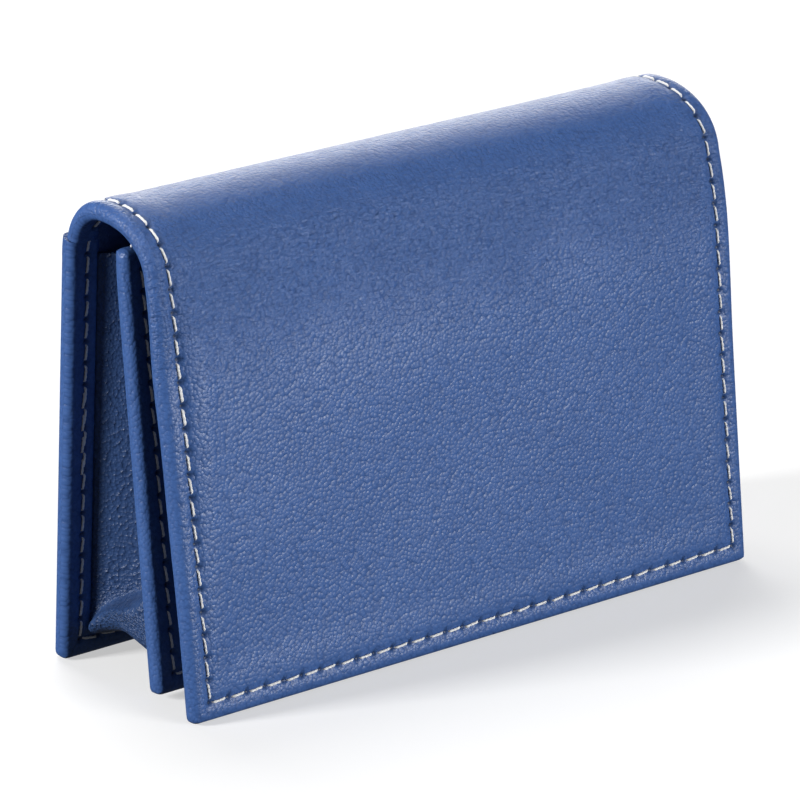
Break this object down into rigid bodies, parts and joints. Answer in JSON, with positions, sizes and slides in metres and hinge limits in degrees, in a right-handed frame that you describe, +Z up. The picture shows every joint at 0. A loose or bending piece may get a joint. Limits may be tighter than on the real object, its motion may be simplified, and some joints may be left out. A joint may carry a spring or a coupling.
{
  "type": "business card case",
  "caption": "Flap-over business card case in stitched leather, with a gusseted card pocket that opens and a rear slip sleeve.",
  "frame": {"origin": "on the floor under the middle of the case, which stands on its lower edges", "axes": "+Z up, -Y towards the flap, +Y towards the back, X along the width"},
  "size_m": [0.104, 0.0344, 0.0717],
  "materials": {
    "cover_leather": "smooth blue leather, fine grain",
    "lining_leather": "blue lining leather",
    "board": "grey stiffener board",
    "thread": "off-white sewing thread"
  },
  "bodies": {
    "back": {"back_sleeve": "cover_leather", "back_cover": "cover_leather", "back_board": "board", "back_lining": "lining_leather", "back_thread": "thread", "slot_panel": "cover_leather", "gusset_strip": "cover_leather"},
    "spine": {"spine_cover": "cover_leather", "spine_lining": "lining_leather", "spine_thread_left": "thread", "spine_thread_right": "thread"},
    "flap": {"flap_cover": "cover_leather", "flap_board": "board", "flap_lining": "lining_leather", "flap_thread": "thread"},
    "pocket_front": {"pocket_front_cover": "cover_leather", "pocket_front_board": "board", "pocket_front_lining": "lining_leather", "pocket_front_thread": "thread"}
  },
  "joints": [
    {"name": "back_fold", "type": "hinge", "parent": "back", "child": "spine", "pos_m": [0, 0.00951, 0.06897], "axis": [-1, 0, 0], "range_deg": [-1.5, 88]},
    {"name": "front_fold", "type": "hinge", "parent": "spine", "child": "flap", "pos_m": [0, -0.00585, 0.06821], "axis": [-1, 0, 0], "range_deg": [-1.5, 88]},
    {"name": "pocket_opening", "type": "slide", "parent": "back", "child": "pocket_front", "axis": [0, -1, 0], "range_m": [-0.005, 0.003], "deforming": ["gusset_strip"]}
  ],
  "couplings": [
    {"joint": "front_fold", "follows": "back_fold", "ratio": 1}
  ]
}
